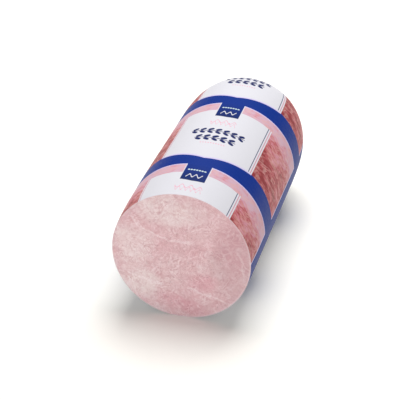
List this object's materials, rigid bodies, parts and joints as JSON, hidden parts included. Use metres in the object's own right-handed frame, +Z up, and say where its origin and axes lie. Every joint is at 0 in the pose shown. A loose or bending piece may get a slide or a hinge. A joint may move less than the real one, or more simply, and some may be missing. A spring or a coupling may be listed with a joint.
{
  "type": "cooked ham sausage half log",
  "caption": "Cooked ham sausage log in a printed film casing, cut flat at one end, rounded and closed by a crimped clip at the other.",
  "frame": {"origin": "on the table under the log, at the middle of its overall length", "axes": "+Z up; +Y along the log from the cut face to the clip; +X to the right for a viewer who faces the cut face"},
  "size_m": [0.1008, 0.246, 0.1],
  "materials": {
    "ham_meat": "moist cut ham, fine pink mosaic",
    "printed_film": "printed plastic film, satin gloss",
    "clip_aluminium": "pressed bare wire"
  },
  "bodies": {
    "root": {"meat": "ham_meat", "casing": "printed_film", "clip": "clip_aluminium"}
  },
  "joints": []
}
